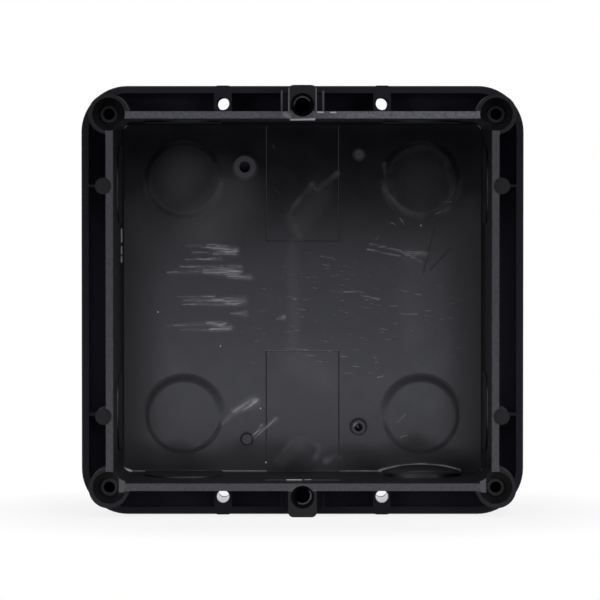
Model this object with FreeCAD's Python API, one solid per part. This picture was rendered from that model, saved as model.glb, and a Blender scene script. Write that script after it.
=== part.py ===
"""Flush back box: one moulded box with a flange channel, screw pillars and knock-outs.

The box stands upright with its open front towards -Y. While it is built, x runs across
the box and z up from its axis, and y is the depth behind the front rim. The finished
moulding is then set down so that its feet stand on z = 0.
"""
import FreeCAD, Part
import math
import os

# Box: opening at the rim, walls and floor, in millimetres.
opening_width = 116.2
opening_height = 112.0
inner_depth = 45.0
wall_thickness = 2.3
floor_thickness = 2.0
wall_taper = 0.6            # how far each wall leans in between rim and floor
inner_corner_radius = 4.0
floor_edge_radius = 0.6
back_edge_radius = 1.8
rim_break = 0.25            # small bevel on the edges of the rim

# Flange channel that runs round the outside, behind the rim.
channel_width = 5.75
channel_depth = 8.0
channel_floor = 1.8
lip_thickness = 2.2
lip_set_back = 11.5
lip_corner_radius = 14.2
lip_bevel = 0.4
foot_proud = 0.15           # bosses stand this far outside the lip

# Screw pillars in the four corners.
corner_screw_out = 1.45     # screw axis outside the faces of the opening
pocket_diameter = 10.2
pocket_wall = 1.1
pocket_depth = 6.0
collar_diameter = 5.3
collar_rise = 1.0           # collar round the screw hole, above the pocket floor
web_start = 1.9             # outside the screw axis, from where the pocket floor slopes into the hollow
web_gap = 0.15              # between the collar and the slopes
web_angle = 27.0
corner_hole_diameter = 3.5
corner_hole_depth = 22.0
pillar_back = 34.0

# Screw bosses in the middle of the top and bottom walls.
boss_pitch = 120.6
boss_width = 8.8
boss_end_radius = 1.6
boss_back = 39.0
boss_mouth_diameter = 7.3
boss_mouth_depth = 7.0
boss_seat_depth = 1.2       # cone between the mouth and the screw hole
boss_hole_diameter = 4.7
boss_hole_depth = 22.0
shoulder_width = 13.6
shoulder_drop = 0.3
shoulder_rib = 0.8
gate_width = 7.8            # trimmed edge under the top boss
gate_height = 0.5
gate_depth = 0.8

# Fixing columns with a hole right through, two above and two below.
column_pitch = 49.2
column_pitch_up = 121.6
column_width = 5.4
column_back = 39.0
column_end_radius = 1.2
column_hole_diameter = 3.9

# Ejector pads on the side walls, with a thin rib across the channel.
pad_pitch = 70.8
pad_diameter = 5.1
pad_out = 0.75              # pad axis outside the wall
pad_drop = 0.3
pad_rib = 0.8

# Wall knock-outs: a raised pad inside, a round recess outside.
wall_knockout_width = 24.6
wall_knockout_rise = 0.5
wall_knockout_edge_radius = 0.4
wall_knockout_diameter = 20.2
wall_knockout_sink = 1.4
wall_knockout_pitch_across = 75.2
wall_knockout_pitch_up = 71.4
pressed_rise = 1.9          # one disc has been pressed in and bulges

# Floor knock-outs: a raised disc inside, a ring groove outside.
floor_knockout_diameter = 25.4
floor_knockout_flat = 21.4
floor_knockout_rise = 0.13
disc_foot = 3.0             # slope in degrees where the soft edge of the disc meets the floor
disc_root = 0.05            # how far the edge of the disc runs on below the floor
floor_knockout_pitch_across = 75.0
floor_knockout_pitch_up = 74.8
floor_ring_width = 0.9
floor_ring_depth = 0.6

# Posts on the floor: place across and up, diameter, height, hole diameter.
floor_posts = (
    (-18.2, 41.2, 7.3, 5.0, 3.5),
    (17.9, 45.2, 3.2, 4.0, 0.0),
    (-17.6, -44.9, 3.3, 4.0, 0.0),
    (17.7, -41.0, 4.6, 5.0, 2.6),
)
post_bevel = 0.15

# Witness ridges left round the two mould inserts.
insert_width = 23.0
upper_insert_edge = 17.7
lower_insert_edge = -17.0
insert_rim_gap = 11.0       # the lower insert ends this far behind the rim
ridge_width = 0.3
ridge_height = 0.08
ridge_root = 0.3            # how far a ridge reaches into the face that it stands on
front_ridge_height = 0.4    # the ridge nearest to the rim stands higher

# Sizes that follow from the ones above.
overall_depth = inner_depth + floor_thickness
body_width = opening_width + 2 * wall_thickness
body_height = opening_height + 2 * wall_thickness
lip_width = body_width + 2 * (channel_width + lip_thickness)
lip_height = body_height + 2 * (channel_width + lip_thickness)
channel_back = lip_set_back + channel_depth
flange_back = channel_back + channel_floor
foot_reach = lip_height / 2 + foot_proud
wall_lean = math.degrees(math.atan2(wall_taper, inner_depth))
corner_x = opening_width / 2 + corner_screw_out
corner_z = opening_height / 2 + corner_screw_out
pillar_diameter = pocket_diameter + 2 * pocket_wall
past = 1.0                  # how far a cutting solid runs past the face that it cuts

V = FreeCAD.Vector
ACROSS, DEPTH, UP = V(1, 0, 0), V(0, 1, 0), V(0, 0, 1)
AXIS = V(0, 0, 0)


def at(x, z, depth):
    """Point at x across, z up and a depth behind the rim."""
    return V(x, depth, z)


def rounded_outline(width, height, radius, depth):
    """Closed outline of a rounded rectangle about the box axis."""
    arcs = []
    for quarter, (side_x, side_z) in enumerate(((1, 1), (-1, 1), (-1, -1), (1, -1))):
        centre_x = side_x * (width / 2 - radius)
        centre_z = side_z * (height / 2 - radius)
        turns = [math.radians(90 * quarter + step) for step in (0, 45, 90)]
        arcs.append([at(centre_x + radius * math.cos(turn), centre_z + radius * math.sin(turn), depth)
                     for turn in turns])
    edges = []
    for arc, following in zip(arcs, arcs[1:] + arcs[:1]):
        edges.append(Part.Arc(*arc).toShape())
        edges.append(Part.LineSegment(arc[2], following[0]).toShape())
    return Part.Wire(edges)


def rounded_prism(width, height, radius, front, back):
    """Straight rounded block between two depths."""
    outline = rounded_outline(width, height, radius, front)
    return Part.Face(outline).extrude(DEPTH * (back - front))


def leaning_block(width, height, front, back):
    """Block whose four sides lean in with the walls; width and height are those at the rim."""
    near, far = [wall_taper * depth / inner_depth for depth in (front, back)]
    x, z = width / 2, height / 2
    return Part.makeWedge(near - x, front, near - z, far - z, far - x,
                          x - near, back, z - near, z - far, x - far)


def leaning_edges(block, front, back):
    """The four corner edges of a leaning block, which run from its front to its back."""
    return [e for e in block.Edges if sorted(round(v.Point.y, 6) for v in e.Vertexes) == [front, back]]


def slab(left, right, low, high, front, back):
    """Plain rectangular block."""
    return Part.makeBox(right - left, back - front, high - low, at(left, low, front))


def rod(x, z, diameter, front, back):
    """Round bar along the depth."""
    return Part.makeCylinder(diameter / 2, back - front, at(x, z, front), DEPTH)


def cone(x, z, front_diameter, back_diameter, front, back):
    """Round taper along the depth."""
    return Part.makeCone(front_diameter / 2, back_diameter / 2, back - front, at(x, z, front), DEPTH)


def edges_at(solid, depth):
    """Edges that lie in the plane at one depth."""
    return [e for e in solid.Edges if all(abs(v.Point.y - depth) < 1e-6 for v in e.Vertexes)]


def both_sides(solid):
    """The solid and its mirror image left to right."""
    return [solid, solid.mirror(AXIS, ACROSS)]


def top_and_bottom(solid):
    """The solid and its mirror image top to bottom."""
    return [solid, solid.mirror(AXIS, UP)]


def four_ways(solid):
    """The solid in all four quarters of the box."""
    return [copy for half in both_sides(solid) for copy in top_and_bottom(half)]


def outer_body():
    """Leaning outer block of the box, before it is hollowed."""
    block = leaning_block(body_width, body_height, 0, overall_depth)
    block = block.makeFillet(inner_corner_radius + wall_thickness, leaning_edges(block, 0, overall_depth))
    return block.makeFillet(back_edge_radius, edges_at(block, overall_depth))


def flange(body):
    """Channel-shaped flange: a lip, and a floor that joins it to the box."""
    block = rounded_prism(lip_width, lip_height, lip_corner_radius, lip_set_back, flange_back)
    block = block.makeChamfer(lip_bevel, edges_at(block, lip_set_back) + edges_at(block, flange_back))
    inside = 2 * lip_thickness
    channel = rounded_prism(lip_width - inside, lip_height - inside, lip_corner_radius - lip_thickness,
                            lip_set_back - past, channel_back)
    return block.cut(channel.cut(body))


def boss_profile(width, end_radius, front, back):
    """Column on the outside of the lower wall, with its two outer corners rounded."""
    block = slab(-width / 2, width / 2, -foot_reach, -opening_height / 2, front, back)
    corners = [e for e in block.Edges
               if all(abs(v.Point.z + foot_reach) < 1e-6 for v in e.Vertexes)
               and abs(e.Vertexes[0].Point.x - e.Vertexes[1].Point.x) < 1e-6]
    return block.makeFillet(end_radius, corners)


def middle_boss():
    """Screw boss under the lower wall, with a shoulder and two thin ribs in the channel."""
    block = boss_profile(boss_width, boss_end_radius, 0, boss_back)
    shoulder = slab(-shoulder_width / 2, shoulder_width / 2, -(lip_height / 2 - lip_thickness),
                    -body_height / 2, lip_set_back + shoulder_drop, channel_back)
    ribs = both_sides(slab(shoulder_width / 2 - shoulder_rib, shoulder_width / 2,
                           -(lip_height - lip_thickness) / 2, -body_height / 2, lip_set_back, channel_back))
    return block.fuse([shoulder] + ribs)


def middle_boss_hole():
    """Stepped screw hole of the lower boss."""
    z = -boss_pitch / 2
    seat = boss_mouth_depth + boss_seat_depth
    mouth = rod(0, z, boss_mouth_diameter, -past, boss_mouth_depth)
    cone_seat = cone(0, z, boss_mouth_diameter, boss_hole_diameter, boss_mouth_depth, seat)
    hole = rod(0, z, boss_hole_diameter, seat, seat + boss_hole_depth)
    return mouth.fuse([cone_seat, hole])


def fixing_column():
    """Column across the channel that carries a through hole."""
    return boss_profile(column_width, column_end_radius, lip_set_back, column_back)


def fixing_hole():
    """Through hole of a fixing column."""
    return rod(0, -column_pitch_up / 2, column_hole_diameter, lip_set_back - past, column_back + past)


def ejector_pad():
    """Round pad on the outside of a side wall, with its rib to the lip."""
    x = body_width / 2 + pad_out
    z = pad_pitch / 2
    pad = rod(x, z, pad_diameter, pad_drop, channel_back)
    rib = slab(x, (lip_width - lip_thickness) / 2, z - pad_rib / 2, z + pad_rib / 2,
               lip_set_back, channel_back)
    return pad.fuse(rib)


def ejector_mark():
    """Shallow round mark that the ejector pin leaves across the rim at a pad."""
    return rod(body_width / 2 + pad_out, pad_pitch / 2, pad_diameter, -past, pad_drop)


def cavity():
    """Hollow of the box: square corners at the rim, rounded corners behind the screw pockets."""
    mouth = leaning_block(opening_width, opening_height, -past, pocket_depth)
    room = leaning_block(opening_width, opening_height, pocket_depth, inner_depth)
    room = room.makeFillet(inner_corner_radius, leaning_edges(room, pocket_depth, inner_depth))
    room = room.makeFillet(floor_edge_radius, edges_at(room, inner_depth))
    x, z = opening_width / 2, opening_height / 2
    flared_x, flared_z = x + rim_break, z + rim_break
    bevel = Part.makeWedge(-flared_x, 0, -flared_z, -z, -x, flared_x, rim_break, flared_z, z, x)
    return mouth.fuse([room, bevel])


def corner_pocket():
    """Wide mouth of a screw pocket, with its floor sloped into the hollow on two sides."""
    radius = pocket_diameter / 2
    drop = (radius + web_start) * math.tan(math.radians(web_angle))
    inner = collar_diameter / 2 + web_gap
    front, back = pocket_depth - past, pocket_depth + drop
    slopes = []
    for along, away in ((ACROSS, UP), (UP, ACROSS)):
        side = at(corner_x, corner_z, 0) - along * inner
        corners = ((web_start, pocket_depth), (-radius, back), (-radius, front), (web_start, front))
        profile = [side + away * out + DEPTH * depth for out, depth in corners]
        slopes.append(Part.Face(Part.makePolygon(profile + profile[:1])).extrude(along * -radius))
    round_part = rod(corner_x, corner_z, pocket_diameter, front, back)
    mouth = rod(corner_x, corner_z, pocket_diameter, -past, pocket_depth)
    return mouth.fuse([slope.common(round_part) for slope in slopes])


def screw_collar():
    """Collar on the floor of a screw pocket."""
    return rod(corner_x, corner_z, collar_diameter, pocket_depth - collar_rise, pocket_depth + past)


def corner_hole():
    """Screw hole through a collar."""
    return rod(corner_x, corner_z, corner_hole_diameter, -past, pocket_depth + corner_hole_depth)


def wall_knockout_pad(wall_reach, pressed):
    """Raised arch that leans with the lower wall; where it has been pressed in, its top bulges."""
    radius = wall_knockout_width / 2
    centre = inner_depth - radius
    top = -(wall_reach - wall_taper - wall_knockout_rise)
    low = -(wall_reach + wall_thickness / 2)
    crown = top + (pressed_rise if pressed else 0)
    end = inner_depth + floor_thickness / 4
    left, right = at(-radius, low, centre), at(radius, low, centre)
    back_left, back_right = at(-radius, low, end), at(radius, low, end)
    outline = Part.Wire([
        Part.Arc(left, at(0, low, centre - radius), right).toShape(),
        Part.LineSegment(right, back_right).toShape(),
        Part.LineSegment(back_right, back_left).toShape(),
        Part.LineSegment(back_left, left).toShape(),
    ])
    arch = Part.Face(outline).extrude(UP * (crown - low))
    if pressed:
        bulge_radius = (radius ** 2 + pressed_rise ** 2) / (2 * pressed_rise)
        front, back = centre - radius - past, inner_depth + past
        arch = arch.common(rod(0, crown - bulge_radius, 2 * bulge_radius, front, back))
    upper = [e for e in arch.Edges if all(v.Point.z > top - 1e-6 for v in e.Vertexes)]
    arch = arch.makeFillet(wall_knockout_edge_radius,
                           [e for e in upper if any(v.Point.y < inner_depth - 1e-6 for v in e.Vertexes)])
    arch.rotate(at(0, top, inner_depth), ACROSS, wall_lean)
    return arch


def wall_knockout_recess(wall_reach, pressed):
    """Round recess on the outside of the lower wall, behind the pad; pressing in leaves it as it is."""
    centre = inner_depth - wall_knockout_width / 2
    outer = wall_reach + wall_thickness - wall_taper * centre / inner_depth
    return Part.makeCylinder(wall_knockout_diameter / 2, wall_knockout_sink + past,
                             at(0, -outer - past, centre), UP)


def round_the_walls(make):
    """Copies of a lower-wall shape at the two knock-out places of each of the four walls."""
    copies = []
    for turn, reach, pitch in ((0, opening_height / 2, wall_knockout_pitch_across),
                               (90, opening_width / 2, wall_knockout_pitch_up),
                               (180, opening_height / 2, wall_knockout_pitch_across),
                               (270, opening_width / 2, wall_knockout_pitch_up)):
        for side in (-1, 1):
            shape = make(reach, turn == 0 and side == 1)
            shape.translate(ACROSS * (side * pitch / 2))
            shape.rotate(AXIS, DEPTH, turn)
            copies.append(shape)
    return copies


def floor_knockout_disc():
    """Raised disc of a floor knock-out, whose edge is a soft S of two arcs."""
    x, z = floor_knockout_pitch_across / 2, floor_knockout_pitch_up / 2
    flat, outer = floor_knockout_flat / 2, floor_knockout_diameter / 2
    run, fall = (outer - flat) / 2, floor_knockout_rise / 2
    radius = (run ** 2 + fall ** 2) / (2 * fall)
    steepest = 2 * math.atan2(fall, run)
    foot = math.radians(disc_foot)

    def shoulder(turn):
        return at(x + flat + radius * math.sin(turn), z,
                  inner_depth - floor_knockout_rise + radius * (1 - math.cos(turn)))

    def skirt(turn):
        return at(x + outer - radius * math.sin(turn), z, inner_depth - radius * (1 - math.cos(turn)))

    drop = radius * (1 - math.cos(foot)) + disc_root
    rim = skirt(foot) + ACROSS * (drop / math.tan(foot)) + DEPTH * drop
    root, top = at(x, z, inner_depth + disc_root), at(x, z, inner_depth - floor_knockout_rise)
    outline = Part.Wire([
        Part.LineSegment(root, top).toShape(),
        Part.LineSegment(top, shoulder(0)).toShape(),
        Part.Arc(shoulder(0), shoulder(steepest / 2), shoulder(steepest)).toShape(),
        Part.Arc(skirt(steepest), skirt((steepest + foot) / 2), skirt(foot)).toShape(),
        Part.LineSegment(skirt(foot), rim).toShape(),
        Part.LineSegment(rim, root).toShape(),
    ])
    return Part.Face(outline).revolve(root, DEPTH, 360)


def floor_knockout_ring():
    """Ring groove on the back, behind the disc of a floor knock-out."""
    x, z = floor_knockout_pitch_across / 2, floor_knockout_pitch_up / 2
    ring_front = overall_depth - floor_ring_depth
    ring = rod(x, z, floor_knockout_flat, ring_front, overall_depth + past)
    disc = rod(x, z, floor_knockout_flat - 2 * floor_ring_width, ring_front, overall_depth + past)
    return ring.cut(disc)


def floor_post(x, z, diameter, height, hole_diameter):
    """Post that stands on the floor, tubular where it has a hole."""
    top = inner_depth - height
    post = rod(x, z, diameter, top, inner_depth + floor_thickness / 2)
    post = post.makeChamfer(post_bevel, edges_at(post, top))
    if hole_diameter:
        post = post.cut(rod(x, z, hole_diameter, top - past, inner_depth))
    return post


def ridge(start, end, outwards):
    """Fine roof-shaped ridge from start to end, on a face that looks outwards."""
    aside = (end - start).cross(outwards).normalize() * (ridge_width / 2)
    root = start - outwards * ridge_root
    spread = aside * (1 + ridge_root / ridge_height)
    profile = [start + outwards * ridge_height, root + spread, root - spread]
    return Part.Face(Part.makePolygon(profile + profile[:1])).extrude(end - start)


def insert_ridges():
    """Fine ridges round the two mould inserts, on the floor and up the lower wall."""
    half = insert_width / 2
    wall_in = opening_height / 2
    ridges = []
    for edge, wall in ((upper_insert_edge, wall_in), (lower_insert_edge, -wall_in)):
        corner = at(half, edge, inner_depth)
        ridges += both_sides(ridge(corner, at(half, wall, inner_depth), -DEPTH))
        ridges.append(ridge(corner, at(-half, edge, inner_depth), -DEPTH))
    foot = at(half, wall_taper - wall_in, inner_depth)
    front_z = wall_taper * insert_rim_gap / inner_depth - wall_in
    front = at(half, front_z, insert_rim_gap)
    ridges += both_sides(ridge(front, foot, UP))
    ridges.append(slab(-half, half, front_z - ridge_root, front_z + front_ridge_height,
                       insert_rim_gap, insert_rim_gap + ridge_width))
    return ridges


def gate_edge():
    """Trimmed edge that stands a little into the opening under the top boss."""
    high = opening_height / 2 + wall_thickness / 2
    return slab(-gate_width / 2, gate_width / 2, opening_height / 2 - gate_height, high, 0, gate_depth)


def back_box():
    """The whole moulding about its own axis."""
    body = outer_body()
    pillars = four_ways(rod(corner_x, corner_z, pillar_diameter, 0, pillar_back))
    columns = four_ways(fixing_column().translated(ACROSS * (column_pitch / 2)))
    bosses = top_and_bottom(middle_boss())
    solid = body.fuse([flange(body)] + pillars + columns + bosses + four_ways(ejector_pad()))
    solid = solid.cut([cavity()] + four_ways(corner_pocket()))
    solid = solid.fuse(round_the_walls(wall_knockout_pad) + insert_ridges() + [gate_edge()])
    solid = solid.fuse(four_ways(floor_knockout_disc()) + four_ways(screw_collar()))
    solid = solid.fuse([floor_post(*post) for post in floor_posts])
    cuts = four_ways(fixing_hole().translated(ACROSS * (column_pitch / 2)))
    cuts += top_and_bottom(middle_boss_hole()) + four_ways(corner_hole()) + four_ways(ejector_mark())
    cuts += round_the_walls(wall_knockout_recess) + four_ways(floor_knockout_ring())
    return solid.cut(cuts).removeSplitter()


os.makedirs("parts", exist_ok=True)
moulding = back_box()
moulding.translate(V(0, -overall_depth / 2, foot_reach))
print("solids", len(moulding.Solids), "valid", moulding.isValid(), "volume", round(moulding.Volume))
print("box", moulding.BoundBox)
moulding.Solids[0].exportStep("parts/back_box.step")
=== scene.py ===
# %% [markdown]
# # A black flush back box
# The object is one injection moulding: an open box that is set into a wall and carries a wiring accessory.
# All its walls, bosses and knock-outs are already in the solid, so this lesson is about the surface:
# where the mould left it matt, where it left it smooth, and where hands and tools have scuffed it.

# %% Load the solid and keep its size
import bpy
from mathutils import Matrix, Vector


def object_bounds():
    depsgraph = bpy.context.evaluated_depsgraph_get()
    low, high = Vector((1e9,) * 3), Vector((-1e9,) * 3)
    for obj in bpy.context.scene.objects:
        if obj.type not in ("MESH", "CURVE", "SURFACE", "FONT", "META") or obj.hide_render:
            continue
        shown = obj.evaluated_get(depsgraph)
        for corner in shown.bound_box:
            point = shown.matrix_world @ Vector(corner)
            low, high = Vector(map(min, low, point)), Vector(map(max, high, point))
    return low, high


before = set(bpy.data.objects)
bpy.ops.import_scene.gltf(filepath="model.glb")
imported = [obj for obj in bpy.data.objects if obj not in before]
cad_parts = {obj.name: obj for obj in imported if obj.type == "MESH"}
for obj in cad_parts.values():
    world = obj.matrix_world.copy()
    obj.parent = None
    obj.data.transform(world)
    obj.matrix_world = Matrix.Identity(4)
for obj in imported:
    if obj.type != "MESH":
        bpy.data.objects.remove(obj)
solid_low, solid_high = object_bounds()
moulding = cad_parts["back_box"]
MM = 0.001
rim_y = solid_low.y
axis_z = (solid_low.z + solid_high.z) / 2
print("solid", [round(v / MM, 1) for v in solid_high - solid_low], "mm")

# %% [markdown]
# ## Camera
# The picture was taken with a long lens from straight in front, a little above the middle of the box.
# A long lens keeps the walls thin in the picture. The camera looks down by less than two degrees,
# so no lens shift is needed.

# %% Set up the camera
IMAGE_SIDE = 600
CAMERA_DISTANCE = 1400 * MM
CAMERA_RISE = 42 * MM
PIXELS_PER_METRE = 3260
SENSOR = 36
BOX_CENTRE_PIXEL = (302.5, 301.4)

camera = bpy.data.objects.new("camera", bpy.data.cameras.new("camera"))
bpy.context.collection.objects.link(camera)
camera.data.sensor_width = SENSOR
camera.data.lens = SENSOR * PIXELS_PER_METRE * CAMERA_DISTANCE / IMAGE_SIDE
camera.location = (0, rim_y - CAMERA_DISTANCE, axis_z + CAMERA_RISE)
aim = Vector((
    (IMAGE_SIDE / 2 - BOX_CENTRE_PIXEL[0]) / PIXELS_PER_METRE,
    rim_y,
    axis_z + (BOX_CENTRE_PIXEL[1] - IMAGE_SIDE / 2) / PIXELS_PER_METRE,
))
camera.rotation_euler = (aim - camera.location).to_track_quat("-Z", "Y").to_euler()
bpy.context.scene.camera = camera
print("lens", round(camera.data.lens, 1), "mm")

# %% [markdown]
# ## Helpers
# Colours are written as the hex values that a colour picker shows, and one function turns them into the
# linear values that a shader works with. One more function adds a node, sets it up and links it.

# %% Colour, node and material helpers
def colour(code):
    """Linear colour of an sRGB hex value."""
    parts = [int(code[i:i + 2], 16) / 255 for i in (1, 3, 5)]
    return tuple(p / 12.92 if p <= 0.04045 else ((p + 0.055) / 1.055) ** 2.4 for p in parts) + (1,)


def add_node(tree, kind, inputs=None, **settings):
    """Adds a node, sets its properties, fills or links its inputs, and gives its outputs."""
    node = tree.nodes.new("ShaderNode" + kind)
    for name, value in settings.items():
        setattr(node, name, value)
    for key, value in (inputs or {}).items():
        if isinstance(value, bpy.types.NodeSocket):
            tree.links.new(value, node.inputs[key])
        else:
            node.inputs[key].default_value = value
    return node.outputs


def seen_directly(tree):
    """1 for what the camera sees, also in a reflection or through something, and 0 for light that falls."""
    paths = add_node(tree, "LightPath")
    seen = paths["Is Camera Ray"]
    for path in ("Is Glossy Ray", "Is Transmission Ray"):
        seen = add_node(tree, "Math", {0: seen, 1: paths[path]}, operation="MAXIMUM")[0]
    return seen


def empty_material(name):
    """New material whose node tree is still empty."""
    material = bpy.data.materials.new(name)
    material.use_nodes = True
    material.node_tree.nodes.clear()
    return material


print("white is", colour("#ffffff"))

# %% [markdown]
# ## Stage
# The box stands on a white sweep. The floor keeps a faint shadow: near the box a small share of it is
# ordinary white card that takes the light, and further out it is plain white, so no edge shows behind it.
# The world is white where it is seen and weaker where it only lights the box.

# %% Floor and world
SWEEP_SIZE = 6.0
SHADOW_NEAR = 0.075
SHADOW_FAR = 0.12
GLOW_IN_SHADOW = 0.85
WORLD_LIGHT = 0.4
WHITE = (1, 1, 1, 1)

card = empty_material("white_card")
tree = card.node_tree
spot = add_node(tree, "TexCoord")["Object"]
far = add_node(tree, "VectorMath", {0: spot}, operation="LENGTH")["Value"]
reach = {"From Min": SHADOW_NEAR, "From Max": SHADOW_FAR, "To Min": GLOW_IN_SHADOW, "To Max": 1.0}
plain = add_node(tree, "MapRange", {"Value": far, **reach})[0]
share = add_node(tree, "Math", {0: seen_directly(tree), 1: plain}, operation="MULTIPLY")[0]
paper = add_node(tree, "BsdfDiffuse", {"Color": colour("#e6e6e8")})[0]
glow = add_node(tree, "Emission", {"Color": WHITE, "Strength": 1.0})[0]
mixed = add_node(tree, "MixShader", {0: share, 1: paper, 2: glow})[0]
add_node(tree, "OutputMaterial", {"Surface": mixed})

bpy.ops.object.select_all(action="DESELECT")
bpy.ops.mesh.primitive_plane_add(size=SWEEP_SIZE, location=(0, 0, solid_low.z))
floor = bpy.context.object
floor.name = "floor"
floor.data.materials.append(card)

world = bpy.data.worlds.new("studio")
bpy.context.scene.world = world
world.use_nodes = True
tree = world.node_tree
tree.nodes.clear()
seen = seen_directly(tree)
strength = add_node(tree, "MapRange", {"Value": seen, "To Min": WORLD_LIGHT, "To Max": 1.0})[0]
sky = add_node(tree, "Background", {"Color": WHITE, "Strength": strength})[0]
add_node(tree, "OutputWorld", {"Surface": sky})
print("sweep of", SWEEP_SIZE, "m, white from", SHADOW_FAR, "m outwards")

# %% [markdown]
# ## Light
# A wide soft box hangs in front of the box and above it. Two panels far out at the sides light the flange
# channel. A small lit card stands low in front, brighter in its lower half. Its soft reflection is what
# makes the lower floor of the box grey and leaves the top black. Only the camera doesn't see it.

# %% Lamps
LAMP_TINT = (0.975, 0.99, 1.09)
SOFT_BOX_PLACE = (0.2, -0.75, 1.0)
SOFT_BOX_SIZE = (1.2, 0.8)
SOFT_BOX_POWER = 6.5
PANEL_ASIDE, PANEL_Y, PANEL_Z = 0.95, -1.2, 0.15
PANEL_SIZE = (0.6, 0.6)
PANEL_POWER = 3.2
CARD_Y, CARD_LEFT, CARD_RIGHT = -0.22, -0.088, 0.080
CARD_PANELS = ((0.0, 0.040, 0.0343), (0.040, 0.084, 0.0251))  # lower edge, upper edge, power


def area_lamp(name, place, size, power, target):
    """Rectangular lamp, slightly cool, that faces a target."""
    lamp = bpy.data.lights.new(name, "AREA")
    lamp.shape = "RECTANGLE"
    lamp.size, lamp.size_y = size
    lamp.energy = power
    lamp.color = LAMP_TINT
    holder = bpy.data.objects.new(name, lamp)
    bpy.context.collection.objects.link(holder)
    holder.location = place
    holder.rotation_euler = (Vector(target) - Vector(place)).to_track_quat("-Z", "Y").to_euler()
    return holder


box_middle = (0, 0, axis_z)
area_lamp("soft_box", SOFT_BOX_PLACE, SOFT_BOX_SIZE, SOFT_BOX_POWER, box_middle)
for side in (-1, 1):
    area_lamp("side_panel", (PANEL_ASIDE * side, PANEL_Y, PANEL_Z), PANEL_SIZE, PANEL_POWER, box_middle)
for low, high, power in CARD_PANELS:
    card_place = ((CARD_LEFT + CARD_RIGHT) / 2, CARD_Y, (low + high) / 2)
    card_size = (CARD_RIGHT - CARD_LEFT, high - low)
    lit_card = area_lamp("lit_card", card_place, card_size, power, (card_place[0], 0, card_place[2]))
    lit_card.visible_camera = False
print(len(bpy.data.lights), "lamps")

# %% [markdown]
# ## Flag
# A photographer hangs black cloth round the camera, so that smooth black faces mirror something black.
# Here it is one bent sheet on the floor and behind the camera. Matt faces still catch light from all sides.

# %% Black flag
FLAG_WIDTH = 2.4
FLAG_HEIGHT = 2.0
FLAG_BACK = -1.55
FLAG_EDGE = -0.12
FLAG_LIFT = 0.001

cloth = empty_material("black_flag_cloth")
tree = cloth.node_tree
weave = add_node(tree, "BsdfDiffuse", {"Color": colour("#0a0a0a")})[0]
add_node(tree, "OutputMaterial", {"Surface": weave})

bpy.ops.object.select_all(action="DESELECT")
bpy.ops.mesh.primitive_plane_add(size=1, location=(0, (FLAG_BACK + FLAG_EDGE) / 2, FLAG_LIFT))
flag = bpy.context.object
flag.name = "flag"
flag.scale = (FLAG_WIDTH, FLAG_EDGE - FLAG_BACK, 1)
bpy.ops.object.transform_apply(location=False, rotation=False, scale=True)
bpy.ops.object.mode_set(mode="EDIT")
bpy.ops.mesh.select_mode(type="EDGE")
bpy.ops.mesh.select_all(action="DESELECT")
bpy.ops.object.mode_set(mode="OBJECT")
for edge in flag.data.edges:
    edge.select = all(flag.data.vertices[i].co.y < 0 for i in edge.vertices)
bpy.ops.object.mode_set(mode="EDIT")
bpy.ops.mesh.extrude_region_move(TRANSFORM_OT_translate={"value": (0, 0, FLAG_HEIGHT)})
bpy.ops.object.mode_set(mode="OBJECT")
flag.data.materials.append(cloth)
flag.visible_camera = False
print("flag with", len(flag.data.polygons), "faces")

# %% [markdown]
# ## Plastic
# The moulding is black polypropylene from a polished core: the floor and the inner walls have a soft gloss,
# and the flange channel comes from a dull, eroded cavity. One material with zones keeps it one piece.
# A point's place is turned into millimetres, measured from the axis of the box and from its rim, and folded
# into one quarter, because the box is the same left and right, above and below.

# %% Places in millimetres, and masks
plastic = empty_material("moulded_black_polypropylene")
tree = plastic.node_tree
where = add_node(tree, "TexCoord")["Object"]
scaled = add_node(tree, "VectorMath", {0: where, "Scale": 1 / MM}, operation="SCALE")[0]
axis_shift = (0, -rim_y / MM, -axis_z / MM)
place = add_node(tree, "VectorMath", {0: scaled, 1: axis_shift}, operation="ADD")[0]
folded = add_node(tree, "VectorMath", {0: place}, operation="ABSOLUTE")[0]
across, depth, up = add_node(tree, "SeparateXYZ", {0: folded})
height = add_node(tree, "SeparateXYZ", {0: place})[2]


def patch(point, centre, half_sizes, edge=0.1):
    """Mask that is 1 inside an ellipsoid round centre and fades to 0 at its edge."""
    offset = add_node(tree, "VectorMath", {0: point, 1: centre}, operation="SUBTRACT")[0]
    relative = add_node(tree, "VectorMath", {0: offset, 1: half_sizes}, operation="DIVIDE")[0]
    far = add_node(tree, "VectorMath", {0: relative}, operation="LENGTH")["Value"]
    return add_node(tree, "MapRange", {"Value": far, "From Min": 1.0, "From Max": 1.0 - edge})[0]


def gathered(masks, operation):
    """One mask from several: the largest with MAXIMUM, where all of them meet with MULTIPLY."""
    result = masks[0]
    for mask in masks[1:]:
        result = add_node(tree, "Math", {0: result, 1: mask}, operation=operation)[0]
    return result


print("places use", len(tree.nodes), "nodes")

# %% [markdown]
# ## Zones
# Each zone is what one part of the mould has formed. Flat limits part the outside from the inside and the
# walls from the floor. Round masks pick out the pads, pockets, collars and bores.

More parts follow.
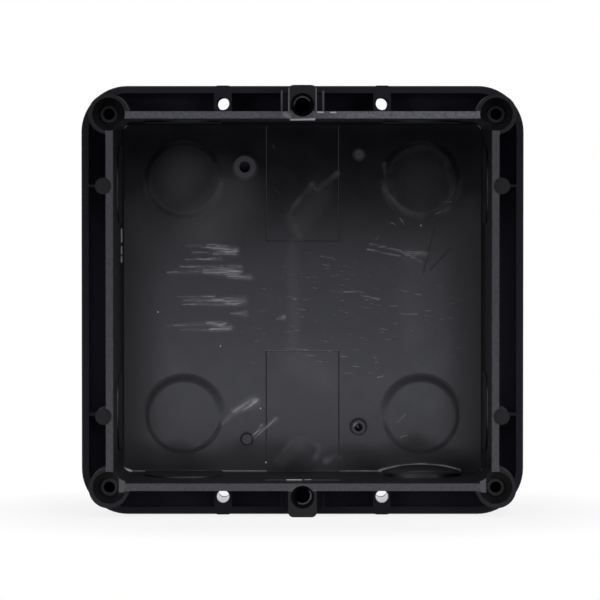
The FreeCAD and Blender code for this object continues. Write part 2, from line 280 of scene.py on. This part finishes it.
# %% Limits of the zones
LIMITS = {
    "past_side": (across, "GREATER_THAN", 59.2),
    "past_top": (up, "GREATER_THAN", 57.1),
    "on_back": (depth, "GREATER_THAN", 46.4),
    "behind_flange": (depth, "GREATER_THAN", 20.0),
    "in_side_recess": (across, "GREATER_THAN", 58.2),
    "in_top_recess": (up, "GREATER_THAN", 56.1),
    "side_band": (across, "LESS_THAN", 60.5),
    "top_band": (up, "LESS_THAN", 58.4),
    "behind_pocket": (depth, "GREATER_THAN", 6.1),
    "lower_half": (height, "LESS_THAN", 0.0),
    "inner_side": (across, "LESS_THAN", 57.0),
    "before_floor": (depth, "LESS_THAN", 44.3),
    "bottom_wall": (height, "LESS_THAN", -54.5),
    "side_wall": (across, "GREATER_THAN", 56.7),
    "top_wall": (height, "GREATER_THAN", 54.6),
    "near_floor": (depth, "GREATER_THAN", 43.9),
    "floor_sides": (across, "GREATER_THAN", 56.5),
    "floor_top": (height, "GREATER_THAN", 54.4),
    "behind_lip": (depth, "GREATER_THAN", 12.5),
    "before_flange": (depth, "LESS_THAN", 19.7),
    "bore_front": (depth, "LESS_THAN", 36.0),
    "before_back": (depth, "LESS_THAN", 45.8),
}
at = {
    name: add_node(tree, "Math", {0: socket, 1: limit}, operation=test)[0]
    for name, (socket, test, limit) in LIMITS.items()
}
print(len(at), "limits bring it to", len(tree.nodes), "nodes")

# %% Zones of the moulding
THROUGH = 60  # half the length of a mask that runs through the whole depth
PILLAR_X, PILLAR_Z = 59.55, 57.45
BOSS_Z = 60.3
HOLE_X, HOLE_Z = 24.6, -60.8
FRONT_BACK, FRONT_FULL = 0.28, 0.2

recesses = gathered([
    at["behind_flange"],
    gathered([at["in_side_recess"], at["in_top_recess"]], "MAXIMUM"),
], "MULTIPLY")
outside = gathered([at["past_side"], at["past_top"], at["on_back"], recesses], "MAXIMUM")
painted_light_channel = gathered([outside, at["behind_lip"], at["before_flange"]], "MULTIPLY")
front = add_node(tree, "MapRange", {"Value": depth, "From Min": FRONT_BACK, "From Max": FRONT_FULL})[0]
wall_band = gathered([at["side_band"], at["top_band"]], "MULTIPLY")
rim = gathered([front, wall_band], "MULTIPLY")
walls = gathered([
    at["side_wall"],
    at["top_wall"],
    gathered([at["before_floor"], at["bottom_wall"]], "MULTIPLY"),
], "MAXIMUM")
floor_edge = gathered([
    at["near_floor"],
    gathered([at["floor_sides"], at["floor_top"]], "MAXIMUM"),
], "MULTIPLY")
pads = patch(folded, (61.15, 0.3, 35.4), (2.6, 0.5, 2.6))
pockets = patch(folded, (PILLAR_X, 8, PILLAR_Z), (5.4, 7.6, 5.4))
collars = patch(folded, (PILLAR_X, 16, PILLAR_Z), (2.8, THROUGH, 2.8))
webs = gathered([pockets, at["behind_pocket"], at["lower_half"], at["inner_side"]], "MULTIPLY")
boss_bores = patch(folded, (0, 12, BOSS_Z), (3.8, THROUGH, 3.8))
clear_bores = gathered([
    patch(place, (side * HOLE_X, 25, HOLE_Z), (2.2, THROUGH, 2.2)) for side in (-1, 1)
], "MAXIMUM")
clear_bores = gathered([clear_bores, at["bore_front"]], "MULTIPLY")
print("zones bring it to", len(tree.nodes), "nodes")

# %% [markdown]
# ## Rubs and scrapes
# Tools and cable ends have rubbed the floor. Each rub is a bundle of fine white scratches with a thin tail
# where the tool set down. A painted picture could show it, but here each rub is a soft stroke placed in
# millimetres that widens along its way, and a noise that is stretched along the rub breaks it up later.

# %% Strokes
FLOOR_DEPTH = 45.0
TAIL = 0.3
FAINTEST = 0.5


def stroke(point, start, end, start_width, end_width, depth_there, peak):
    """Mask of a soft mark: peak along its middle and 0 a width away."""
    run = Vector((end[0] - start[0], 0, end[1] - start[1]))
    origin = (start[0], depth_there, start[1])
    slope = run / run.length_squared
    offset = add_node(tree, "VectorMath", {0: point, 1: origin}, operation="SUBTRACT")[0]
    share = add_node(tree, "VectorMath", {0: offset, 1: slope}, operation="DOT_PRODUCT")["Value"]
    share = add_node(tree, "Clamp", {0: share})[0]
    along = add_node(tree, "VectorMath", {0: run, "Scale": share}, operation="SCALE")[0]
    apart = add_node(tree, "VectorMath", {0: offset, 1: along}, operation="DISTANCE")["Value"]
    width = start_width
    if end_width != start_width:
        width = add_node(tree, "MapRange", {"Value": share, "To Min": start_width, "To Max": end_width})[0]
    falloff = {"Value": apart, "From Min": width, "From Max": 0.0, "To Max": peak}
    return add_node(tree, "MapRange", falloff, interpolation_type="SMOOTHSTEP")[0]


def strokes(width, points, tail=1.0, depth_there=FLOOR_DEPTH, point=place):
    """Mask of a mark through several points; with a tail below 1 it starts narrower and fainter."""
    masks = []
    last = len(points) - 1
    for i in range(last):
        shares = [tail + (1 - tail) * j / last for j in (i, i + 1)]
        widths = [width * share for share in shares]
        peak = max(FAINTEST, sum(shares) / 2)
        masks.append(stroke(point, points[i], points[i + 1], widths[0], widths[1], depth_there, peak))
    return gathered(masks, "MAXIMUM")


def marks(rows, spread=1.0, **how):
    """Mask of several marks, each given as its width and its points."""
    return gathered([strokes(width * spread, points, **how) for width, points in rows], "MAXIMUM")


print("a stroke starts at", TAIL, "of its width")

# %% Rubs and scrapes on the floor
RUB_SPREAD = 1.4
rubs = marks((
    (1.9, ((-36.9, 16.3), (-29.9, 16.2), (-21.4, 14.7))),
    (1.5, ((-35.0, 14.2), (-28.0, 14.0), (-21.7, 14.2))),
    (0.9, ((-37.2, 11.9), (-25.8, 12.1))),
    (1.4, ((-38.8, 9.7), (-19.8, 9.3))),
    (2.1, ((-42.6, 7.8), (-31.0, 8.2), (-20.4, 7.9))),
    (1.2, ((-28.3, 7.0), (-23.6, 6.6), (-16.6, 6.3))),
    (0.7, ((-39.7, 0.1), (-28.0, 0.1))),
    (1.8, ((-37.8, -1.0), (-18.8, -1.1))),
    (1.1, ((-38.2, -2.3), (-19.8, -2.1))),
    (1.3, ((-22.7, -5.2), (-18.2, -5.2))),
    (1.2, ((-8.2, -6.9), (-6.0, -6.4))),
    (1.6, ((-42.6, -9.1), (-30.0, -8.4), (-24.9, -8.9))),
    (1.3, ((-38.8, -10.4), (-29.3, -10.3), (-23.0, -9.7))),
), RUB_SPREAD, tail=TAIL)
slant_rubs = marks((
    (2.4, ((-25.2, -40.2), (-21.6, -36.2), (-15.4, -33.1))),
    (0.9, ((-16.0, -44.3), (-12.8, -40.8))),
    (1.0, ((-15.7, -45.0), (-8.4, -38.6))),
), RUB_SPREAD, tail=TAIL)
scrapes = marks((
    (0.8, ((21.4, 16.8), (30.9, 14.7), (37.8, 11.1))),
    (0.7, ((20.7, 15.1), (30.9, 13.0))),
    (0.4, ((27.9, 23.6), (29.4, 23.1))),
    (0.4, ((30.8, 25.1), (32.3, 23.0))),
    (0.6, ((41.9, 26.2), (45.3, 27.7))),
    (0.4, ((44.9, 30.3), (47.1, 30.1))),
    (2.2, ((33.1, 13.9), (38.8, 13.9))),
    (0.4, ((13.1, 1.7), (18.5, 1.7))),
    (0.5, ((18.5, 0.6), (24.2, -0.6))),
    (0.6, ((27.4, -2.7), (29.9, -2.7))),
    (0.5, ((31.5, -5.5), (36.3, -5.4))),
    (0.5, ((5.9, 12.8), (10.0, 12.3))),
    (0.5, ((29.9, -39.9), (33.7, -36.1))),
    (0.6, ((31.2, -44.3), (32.9, -43.7))),
    (0.6, ((23.9, -25.5), (25.5, -25.0))),
))
print("rubs and scrapes bring it to", len(tree.nodes), "nodes")

# %% [markdown]
# ## Flow marks
# Where cold plastic met in the mould, it left pale, cloudy wisps, broad faint bands and a haze. They are
# wider strokes of the same kind. For wisps and bands a slow noise first bends the place of a point,
# so the lines don't look ruled. A few thin streaks are only duller than the rest.

# %% Wisps, bands and haze
SWAYS_PER_MM = 0.1
DRIFT_MM = 4.0
NOISE_MIDDLE = (0.5, 0.5, 0.5)
sway = add_node(tree, "TexNoise", {"Vector": place, "Scale": SWAYS_PER_MM, "Detail": 0.0})["Color"]
centred = add_node(tree, "VectorMath", {0: sway, 1: NOISE_MIDDLE}, operation="SUBTRACT")[0]
drift = add_node(tree, "VectorMath", {0: centred, "Scale": DRIFT_MM}, operation="SCALE")[0]
drifted = add_node(tree, "VectorMath", {0: place, 1: drift}, operation="ADD")[0]

wisps = marks((
    (1.6, ((-3.6, 25.1), (-1.4, 28.8), (0.9, 32.5), (3.5, 36.2), (5.3, 34.7), (7.9, 37.3), (10.5, 40.2))),
    (4.0, ((-2.8, 23.0), (-1.0, 20.0))),
    (0.5, ((13.1, 39.1), (17.5, 40.2))),
    (1.6, ((-8.5, -52.2), (-4.5, -47.4), (-1.3, -44.8), (0.8, -44.3), (2.8, -44.9), (4.8, -46.5))),
    (1.5, ((4.8, -46.5), (4.6, -48.2), (4.0, -50.6))),
    (1.7, ((6.8, -51.4), (9.2, -50.2), (10.9, -51.0))),
    (1.2, ((25.6, 42.2), (25.4, 38.4))),
    (1.2, ((25.0, 33.9), (25.8, 33.2))),
    (1.9, ((27.5, 31.5), (31.0, 28.4), (37.2, 26.6), (42.0, 27.0), (45.3, 28.6))),
    (0.7, ((-15.6, 50.9), (-12.0, 48.2))),
    (0.7, ((-12.6, 50.8), (-9.6, 47.0))),
    (0.5, ((-9.3, 35.5), (-7.1, 33.9))),
    (0.5, ((24.9, 21.5), (21.4, 17.2))),
), point=drifted)
bands = marks((
    (3.6, ((-3.0, 16.5), (-3.0, -15.2))),
    (6.5, ((34.7, 12.3), (34.7, -12.0))),
    (7.0, ((0.5, 23.0), (5.5, 33.0))),
    (13.0, ((37.0, 36.5), (38.0, 38.5))),
    (9.0, ((-2.0, -20.0), (6.0, -24.0))),
    (3.5, ((-6.5, -51.5), (-3.0, -48.0), (0.5, -46.5))),
), point=drifted)
haze = marks((
    (15.0, ((-31.0, 24.0), (-23.0, 33.0))),
    (13.0, ((-38.0, 36.5), (-37.0, 38.5))),
))
dulled = marks((
    (0.5, ((41.9, 22.4), (38.3, 7.8))),
    (0.5, ((46.6, 15.3), (40.6, 8.8))),
    (3.2, ((1.5, -47.8), (3.2, -49.0))),
))
print("flow marks bring it to", len(tree.nodes), "nodes")

# %% [markdown]
# ## Floor knock-outs
# Each knock-out is a thin disc with a soft step round it. The step is duller towards the middle of the box,
# where it looks dark, and the upper right disc has a painted highlight ring inside its step. Both are one
# ellipsoid less another.

# %% Steps and ring of the knock-outs
DISC = (37.5, FLOOR_DEPTH, 37.4)
DISC_HALF_DEPTH = 3.0
ARC_ENDS, ARC_FULL = 38.0, 28.0


def disc_ring(point, outer, inner, edge):
    """Mask of a ring on a knock-out between two radii, both with the same soft edge."""
    masks = [patch(point, DISC, (radius, DISC_HALF_DEPTH, radius), edge) for radius in (outer, inner)]
    return add_node(tree, "Math", {0: masks[0], 1: masks[1]}, operation="SUBTRACT", use_clamp=True)[0]


inner_arc = add_node(tree, "MapRange", {"Value": up, "From Min": ARC_ENDS, "From Max": ARC_FULL})[0]
step_ring = disc_ring(folded, outer=13.6, inner=12.0, edge=0.15)
soft_edges = gathered([step_ring, inner_arc], "MULTIPLY")
# Painted highlight: a pale ring inside the step of the upper right knock-out.
painted_ring_highlight = disc_ring(drifted, outer=12.4, inner=10.6, edge=0.2)
print("knock-outs bring it to", len(tree.nodes), "nodes")

# %% [markdown]
# ## Edges, specks and posts
# A knife has trimmed the gate and some edges, and left them white. Thin flash stands along the joints of the
# mould, and a few specks lie on the floor. Painted highlights lie along the foot of the floor, on the crown
# of the pressed knock-out, on the seats of the middle bosses, low on the left wall, in the lower left corner
# of the floor and on the lower right post. The tops of the four posts are pale, and round their feet the
# floor is dull. Strokes away from the floor name their own depth.

# %% Trimmed edges, flash, specks and posts
SEAT_DEPTH = 8.1
FOOT_DEPTH = 44.7
SPECK = (0.32, 1.0, 0.32)
POSTS = (
    (-18.2, 41.2, 40.0, 3.65),  # across, up, depth of the top, radius
    (17.9, 45.2, 41.0, 1.6),
    (-17.6, -44.9, 41.0, 1.65),
    (17.7, -41.0, 40.0, 2.3),
)
TOP_MARGIN = 0.15
SIDE_MARGIN = 0.7

# Painted highlights: bright lines along the foot of the floor and along the crown of the pressed knock-out.
painted_edge_highlights = marks((
    (0.4, ((-56.5, -55.0), (-11.6, -55.0))),
    (0.4, ((11.6, -55.0), (24.4, -55.0))),
    (0.7, ((24.4, -54.9), (30.0, -53.6), (37.6, -53.0), (45.0, -53.6), (49.8, -54.9))),
), depth_there=FOOT_DEPTH)
# Painted highlights: bright arcs on the seats of the two middle bosses.
painted_seat_highlights = marks((
    (0.8, ((-2.4, 60.7), (-1.7, 62.0), (-0.4, 62.7), (0.9, 62.5), (1.9, 61.8))),
    (0.8, ((-0.9, -62.5), (0.4, -62.6), (1.5, -62.1), (2.3, -61.1), (2.4, -60.1), (2.2, -59.2))),
), depth_there=SEAT_DEPTH)
# Edges that the knife left white, and painted highlights: the three streaks low on the left wall and the
# bright spot in the lower left corner of the floor.
trimmed_edges_and_highlights = gathered([strokes(width, points, depth_there=depth_there) for width, depth_there, points in (
    (0.7, 0.3, ((-3.7, 55.55), (3.7, 55.85))),
    (0.5, 11.1, ((-4.7, -55.45), (-0.4, -55.45))),
    (0.3, 11.1, ((0.8, -55.45), (2.6, -55.45))),
    (0.4, 0.1, ((4.7, 58.05), (6.3, 58.0))),
    (0.35, 0.1, ((8.6, 57.95), (10.2, 57.95))),
    (0.5, 0.1, ((-4.6, 66.3), (-3.0, 66.5))),
    (0.5, 0.1, ((3.0, 66.5), (4.4, 66.3))),
    (0.45, FOOT_DEPTH, ((-57.2, 21.5), (-57.2, 17.5))),
    (0.45, FOOT_DEPTH, ((-57.2, 16.0), (-57.2, 13.8))),
    (0.45, FOOT_DEPTH, ((-57.2, 12.8), (-57.2, 11.2))),
    (0.9, 44.6, ((-57.0, -54.5), (-54.6, -55.1))),
)], "MAXIMUM")
flash = gathered([strokes(width, points, depth_there=depth_there) for width, depth_there, points in (
    (0.5, 11.5, ((-6.4, 58.4), (-6.4, 64.6))),
    (0.5, 11.5, ((6.4, 58.4), (6.4, 64.6))),
    (0.4, 0.0, ((-4.2, 58.5), (-4.2, 65.5))),
    (0.4, 0.0, ((4.2, 58.5), (4.2, 65.5))),
    (1.3, 0.1, ((-5.4, 57.4), (-4.2, 56.6))),
)], "MAXIMUM")
# Specks on the floor; the last one, at the lower right post, is a painted glint in its bore.
specks_and_glint = gathered([patch(place, (x, FLOOR_DEPTH, z), SPECK, 0.5) for x, z in (
    (-11.6, -52.4), (-45.8, -4.7), (-26.0, -15.5), (-13.3, -35.3), (37.5, 22.7), (17.6, -41.2),
)], "MAXIMUM")
# Painted glint: a white spot on the top of the lower right post.
post_glint = patch(place, (17.1, 41.5, -40.5), (1.0, 7.0, 1.0), 0.6)
post_tops = gathered([
    patch(place, (x, top, z), (radius + TOP_MARGIN, 0.6, radius + TOP_MARGIN), 0.1)
    for x, z, top, radius in POSTS
], "MAXIMUM")
post_sides = gathered([
    patch(place, (x, 43.5, z), (radius + SIDE_MARGIN, 30.0, radius + SIDE_MARGIN), 0.2)
    for x, z, top, radius in POSTS
], "MAXIMUM")
print("edges, specks and posts bring it to", len(tree.nodes), "nodes")

# %% [markdown]
# ## Break-up
# A real scratch is a strand that comes and goes. Noises stretched along a rub make strands about 5 mm long
# and 0.3 mm apart, as fine as the picture shows. A round noise of about 6 mm makes the clouds of the flow
# marks, and a coarser strand noise, cut off high, leaves the short ticks in the middle of the floor.

# %% Strands, clouds and ticks
STRANDS_PER_MM = (0.22, 0.3, 3.6)
SLANT_STRANDS_PER_MM = (0.15, 0.3, 3.6)
SLANT_TURN = 0.63
TICKS_PER_MM = (0.26, 0.3, 1.9)
TICK_TURN = -0.12
CLOUDS_PER_MM = 0.16

strand_look = {"Scale": 1.0, "Detail": 4.0, "Roughness": 0.6}
stretched = add_node(tree, "VectorMath", {0: place, 1: STRANDS_PER_MM}, operation="MULTIPLY")[0]
fibres = add_node(tree, "TexNoise", {"Vector": stretched, **strand_look})[0]
turned = add_node(tree, "VectorRotate", {"Vector": place, "Angle": SLANT_TURN}, rotation_type="Y_AXIS")[0]
slanting = add_node(tree, "VectorMath", {0: turned, 1: SLANT_STRANDS_PER_MM}, operation="MULTIPLY")[0]
slant_fibres = add_node(tree, "TexNoise", {"Vector": slanting, **strand_look})[0]
tilted = add_node(tree, "VectorRotate", {"Vector": place, "Angle": TICK_TURN}, rotation_type="Y_AXIS")[0]
fleck = add_node(tree, "VectorMath", {0: tilted, 1: TICKS_PER_MM}, operation="MULTIPLY")[0]
ticks = add_node(tree, "TexNoise", {"Vector": fleck, "Scale": 1.0, "Detail": 1.0})[0]
cloud_look = {"Scale": CLOUDS_PER_MM, "Detail": 5.0, "Roughness": 0.6}
cloud = add_node(tree, "TexNoise", {"Vector": place, **cloud_look})[0]


def broken_up(mask, noise, amount, low, high):
    """Mask that a noise frays inside its own outline."""
    fray = add_node(tree, "Math", {0: noise, 1: amount, 2: 1 - amount / 2}, operation="MULTIPLY_ADD")[0]
    frayed = add_node(tree, "Math", {0: mask, 1: fray}, operation="MULTIPLY")[0]
    return add_node(tree, "MapRange", {"Value": frayed, "From Min": low, "From Max": high})[0]


rubbed = gathered([
    broken_up(rubs, fibres, amount=5.0, low=0.4, high=1.6),
    broken_up(slant_rubs, slant_fibres, amount=4.4, low=0.4, high=1.6),
], "MAXIMUM")
scraped = broken_up(scrapes, fibres, amount=5.0, low=0.35, high=1.5)
smoke = add_node(tree, "MapRange", {"Value": cloud, "From Min": 0.25, "From Max": 0.62})[0]
flecks = add_node(tree, "MapRange", {"Value": ticks, "From Min": 0.69, "From Max": 0.82})[0]
print("noises bring it to", len(tree.nodes), "nodes")

# %% [markdown]
# ## Strength of the marks
# Scratched plastic turns whitish, and some marks are painted highlights, so all marks become one mask that
# says how white a point is. Rubs, cut edges and most painted highlights are nearly white, and flow marks
# only a shade lighter than the floor. No mark reaches the back.

# %% One mask for all marks
middle = patch(place, (14.0, FLOOR_DEPTH, -6.0), (44.0, 3.0, 26.0), 0.5)
wear_and_highlights = gathered([
    add_node(tree, "Math", {0: mark, 1: whiteness}, operation="MULTIPLY")[0]
    for mark, whiteness in (
        (rubbed, 1.0),
        (gathered([rubs, slant_rubs], "MAXIMUM"), 0.15),
        (scraped, 0.35),
        (gathered([wisps, smoke], "MULTIPLY"), 0.1),
        (bands, 0.035),
        (haze, 0.09),
        (gathered([painted_edge_highlights, smoke], "MULTIPLY"), 0.8),
        (gathered([painted_ring_highlight, smoke], "MULTIPLY"), 0.045),
        (gathered([flecks, middle], "MULTIPLY"), 0.3),
        (flash, 0.2),
        (gathered([specks_and_glint, painted_seat_highlights, trimmed_edges_and_highlights, post_glint], "MAXIMUM"), 1.0),
    )
], "MAXIMUM")
wear_and_highlights = gathered([wear_and_highlights, at["before_back"]], "MULTIPLY")
print("marks bring it to", len(tree.nodes), "nodes")

# %% [markdown]
# ## Roughness
# The zones are laid over one another, and each later one covers those before it. The core was polished in
# the middle of the floor and left duller towards its sides and its foot, where the grey fades out in a wave.

# %% Roughness of each zone
SOFT_GLOSS = 0.19
SOFT_GLOSS_LOW = SOFT_GLOSS - 0.015
SOFT_GLOSS_HIGH = SOFT_GLOSS + 0.025
SWELLS_PER_MM = 0.07
SWELL_MM = 12.0


def over(base, factor, top):
    """Base where factor is 0 and top where it is 1; tuples and colour sockets mix as colours."""
    if isinstance(top, (tuple, bpy.types.NodeSocketColor)):
        return add_node(tree, "Mix", {0: factor, 6: base, 7: top}, data_type="RGBA")[2]
    return add_node(tree, "Mix", {0: factor, 2: base, 3: top})[0]


swell = add_node(tree, "TexNoise", {"Vector": place, "Scale": SWELLS_PER_MM, "Detail": 0.0})[0]
wave = add_node(tree, "Math", {0: swell, 1: SWELL_MM, 2: height}, operation="MULTIPLY_ADD")[0]
foot_fade = {"Value": wave, "From Min": -38.0, "From Max": -53.0}
floor_foot = add_node(tree, "MapRange", foot_fade, interpolation_type="SMOOTHSTEP")[0]
side_fade = {"Value": across, "From Min": 40.0, "From Max": 58.0, "To Max": 0.6}
floor_side = add_node(tree, "MapRange", side_fade, interpolation_type="SMOOTHSTEP")[0]
lower_floor = add_node(tree, "MapRange", {"Value": height, "From Min": 34.0, "From Max": 12.0})[0]
floor_side = gathered([floor_side, lower_floor], "MULTIPLY")
faint = add_node(tree, "Math", {0: dulled, 1: 0.5}, operation="MULTIPLY")[0]

mottle = {"From Min": 0.3, "From Max": 0.7, "To Min": SOFT_GLOSS_LOW, "To Max": SOFT_GLOSS_HIGH}
rough = add_node(tree, "MapRange", {"Value": cloud, **mottle})[0]
for zone, roughness in (
    (gathered([floor_side, post_sides], "MAXIMUM"), 0.6),
    (floor_foot, 1.0),
    (soft_edges, 0.75),
    (walls, 0.42),
    (gathered([outside, floor_edge], "MAXIMUM"), 1.0),
    (pockets, 0.9),
    (webs, 0.3),
    (gathered([collars, boss_bores], "MAXIMUM"), 0.7),
    (clear_bores, 0.16),
    (gathered([front, pads], "MAXIMUM"), 0.95),
    (gathered([rim, post_tops], "MAXIMUM"), 0.6),
    (gathered([wear_and_highlights, faint], "MAXIMUM"), 0.55),
):
    rough = over(rough, zone, roughness)
print("roughness brings it to", len(tree.nodes), "nodes")

# %% [markdown]
# ## Colour
# The plastic is black all over, a little bluish in the flange. Handling has worn the rim to a mottled grey,
# and the rim is painted lighter along its top, more on the right. Painted light lifts the flange channel,
# and painted shade darkens the pockets, collars, bores and the edge of the floor. The white of the marks and
# of the painted highlights comes last, over everything else.

# %% Colour of each zone
NICKS_PER_MM = 0.9
TOP_MIDDLE_X, TOP_MIDDLE_Z = 34.0, 57.0
TOP_HALF_SIZES = (34.0, 3.0, 4.0)

nick_look = {"Scale": NICKS_PER_MM, "Detail": 6.0, "Roughness": 0.7}
nicks = add_node(tree, "TexNoise", {"Vector": place, **nick_look})[0]
nicked = add_node(tree, "MapRange", {"Value": nicks, "From Min": 0.42, "From Max": 0.6, "To Max": 0.55})[0]
top_left, top_right = [
    patch(place, (side * TOP_MIDDLE_X, 0.0, TOP_MIDDLE_Z), TOP_HALF_SIZES, 0.4) for side in (-1, 1)
]
rim_tint = colour("#3c3c40")
for zone, code in ((top_left, "#525256"), (top_right, "#68686c"), (nicked, "#1c1c1f")):
    rim_tint = over(rim_tint, zone, colour(code))

tint = colour("#0d0b11")
for zone, shade in (
    (outside, colour("#13111a")),
    # Painted light: the flange channel is tinted lighter than the rest of the outside.
    (painted_light_channel, colour("#24222c")),
    # Painted shade: pockets, collars, bores and the edge of the floor are tinted darker than the plastic.
    (gathered([pockets, collars, boss_bores, floor_edge], "MAXIMUM"), colour("#060608")),
    (front, colour("#111114")),
    (rim, rim_tint),
    (pads, colour("#121215")),
    (post_tops, colour("#3b3b3f")),
    (wear_and_highlights, colour("#c8c7c6")),
):
    tint = over(tint, zone, shade)
print("colour brings it to", len(tree.nodes), "nodes")

# %% [markdown]
# ## Grain and shader
# The mould's own fine grain, about half a millimetre across, is too shallow to model and only breaks up the
# gloss, so it is a bump of a few hundredths of a millimetre. Polypropylene has an IOR of about 1.5.

# %% Put the plastic together
GRAINS_PER_MM = 2.0
GRAIN_DEPTH = 0.02 * MM
PLASTIC_IOR = 1.5
grain = add_node(tree, "TexNoise", {"Vector": place, "Scale": GRAINS_PER_MM, "Detail": 4.0})[0]
bump = add_node(tree, "Bump", {"Strength": 0.1, "Distance": GRAIN_DEPTH, "Height": grain})[0]
shader = add_node(tree, "BsdfPrincipled", {
    "Base Color": tint,
    "Roughness": rough,
    "IOR": PLASTIC_IOR,
    "Normal": bump,
})[0]
add_node(tree, "OutputMaterial", {"Surface": shader})
moulding.material_slots[0].material = plastic
print("plastic with", len(tree.nodes), "nodes")

# %% [markdown]
# ## Finish
# The colours are shown as they are.

# %% Finish
bpy.context.scene.view_settings.view_transform = "Standard"
